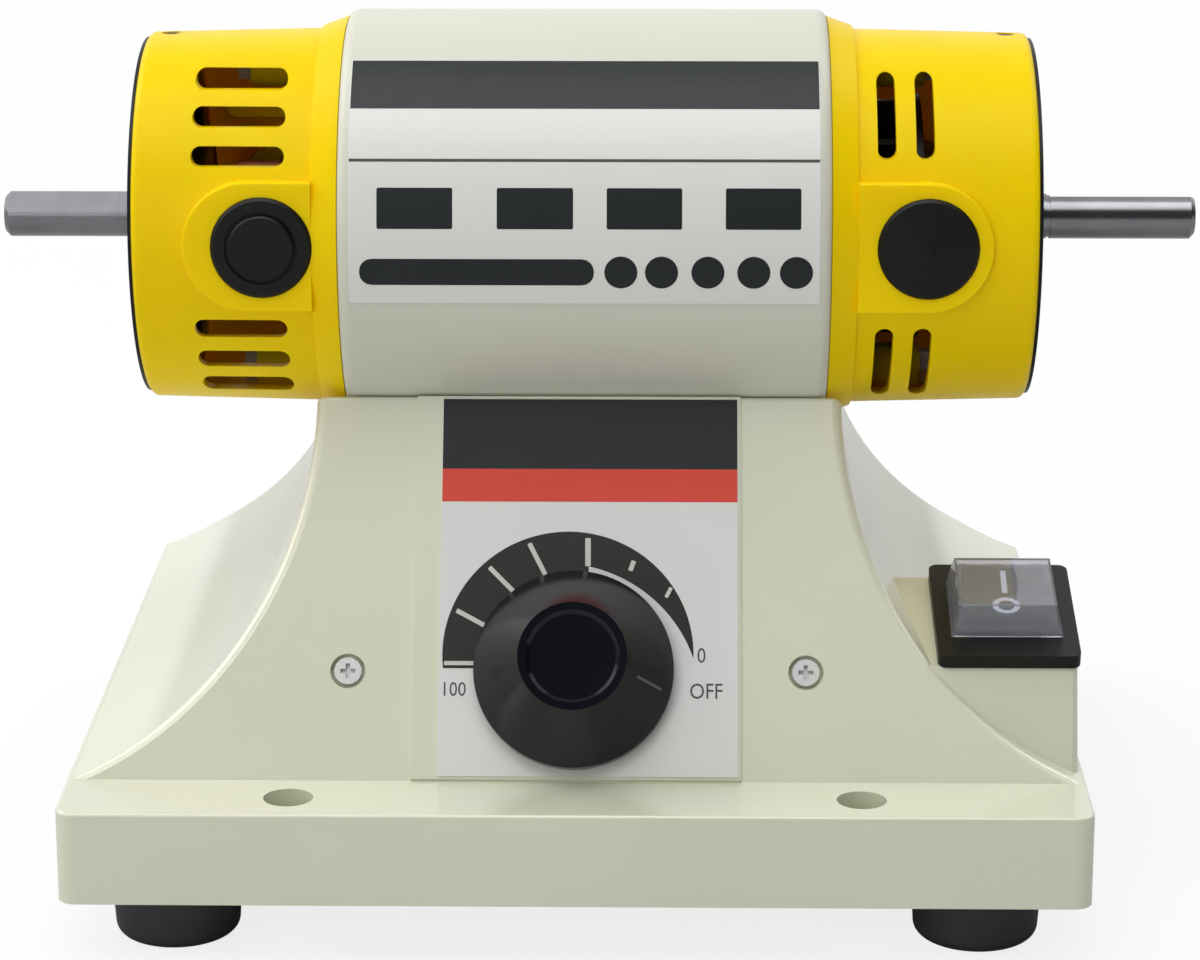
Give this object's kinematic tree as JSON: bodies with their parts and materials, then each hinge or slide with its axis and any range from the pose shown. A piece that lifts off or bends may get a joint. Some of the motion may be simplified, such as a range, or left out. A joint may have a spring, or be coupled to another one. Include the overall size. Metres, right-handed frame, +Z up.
{
  "type": "dental polishing lathe",
  "caption": "Bench polishing lathe: a cylindrical motor with a spindle out of both ends, held on a flared cast base with a lean-back control panel, a speed knob and a rocker switch.",
  "frame": {"origin": "on the bench under the feet, midway between the two spindle tips and midway between the base's front and back edges", "axes": "+X along the spindle to the viewer's right, +Y from the control panel to the back, +Z up"},
  "size_m": [0.264, 0.192, 0.1859],
  "materials": {
    "casting_paint": "satin enamel on die-cast metal",
    "sleeve_paint": "satin enamel on steel",
    "yellow_plastic": "glossy moulded",
    "black_plastic": "moulded",
    "knob_plastic": "glossy moulded",
    "clear_boot": "clear silicone",
    "grey_rubber": "moulded",
    "steel": "ground",
    "zinc_steel": "zinc plated",
    "dark_steel": "blackened",
    "laminated_steel": "varnished",
    "copper_wire": "enamelled winding",
    "commutator_copper": "turned",
    "brass": "plain",
    "carbon": "graphite",
    "aluminium": "extruded",
    "board_green": "laminate",
    "component_plastic": "moulded",
    "panel_label": "printed film",
    "sleeve_label": "printed film"
  },
  "bodies": {
    "machine": {"base_casting": "casting_paint", "bottom_plate": "zinc_steel", "foot_front_left": "grey_rubber", "foot_rear_left": "grey_rubber", "foot_front_right": "grey_rubber", "foot_rear_right": "grey_rubber", "foot_screws": "zinc_steel", "foot_washers": "zinc_steel", "switch_body": "black_plastic", "switch_terminals": "brass", "switch_boot": "clear_boot", "control_label": "panel_label", "potentiometer_body": "zinc_steel", "potentiometer_nut": "zinc_steel", "control_bracket": "zinc_steel", "panel_screws": "steel", "panel_nuts": "zinc_steel", "control_board": "board_green", "board_spacers": "brass", "board_screws": "zinc_steel", "triac_heat_sink": "aluminium", "filter_capacitor": "component_plastic", "filter_choke": "copper_wire", "motor_sleeve": "sleeve_paint", "motor_label": "sleeve_label", "left_end_housing": "yellow_plastic", "right_end_housing": "yellow_plastic", "left_end_plate": "black_plastic", "right_end_plate": "black_plastic", "rim_screws": "dark_steel", "through_bolts": "zinc_steel", "through_bolt_nuts": "zinc_steel", "motor_mount_screws": "zinc_steel", "motor_mount_washers": "zinc_steel", "motor_lead_grommet": "grey_rubber", "cord_inlet_bush": "grey_rubber", "brush_holder_front": "black_plastic", "carbon_brush_front": "carbon", "brush_spring_front": "steel", "brush_cap_front": "black_plastic", "brush_holder_rear": "black_plastic", "carbon_brush_rear": "carbon", "brush_spring_rear": "steel", "brush_cap_rear": "black_plastic", "blanking_plugs": "black_plastic", "stator_core": "laminated_steel", "upper_field_coil": "copper_wire", "lower_field_coil": "copper_wire", "left_bearing_outer": "steel", "right_bearing_outer": "steel"},
    "spindle": {"spindle_shaft": "steel", "armature_core": "laminated_steel", "armature_winding": "copper_wire", "commutator": "commutator_copper", "cooling_fan": "black_plastic", "left_bearing_inner": "steel", "right_bearing_inner": "steel"},
    "knob": {"speed_knob": "knob_plastic", "potentiometer_spindle": "steel"},
    "rocker": {"switch_rocker": "black_plastic"}
  },
  "joints": [
    {"name": "spindle_spin", "type": "hinge", "parent": "machine", "child": "spindle", "pos_m": [-0.0024, -0.0014, 0.1404], "axis": [1, 0, 0], "continuous": true},
    {"name": "speed_knob_turn", "type": "hinge", "parent": "machine", "child": "knob", "pos_m": [-0.0044, -0.06383, 0.05421], "axis": [0, -0.8643, 0.5029], "range_deg": [0, 192]},
    {"name": "rocker_tilt", "type": "hinge", "parent": "machine", "child": "rocker", "pos_m": [0.0884, -0.04456, 0.05844], "axis": [1, 0, 0], "range_deg": [-12, 0]}
  ]
}
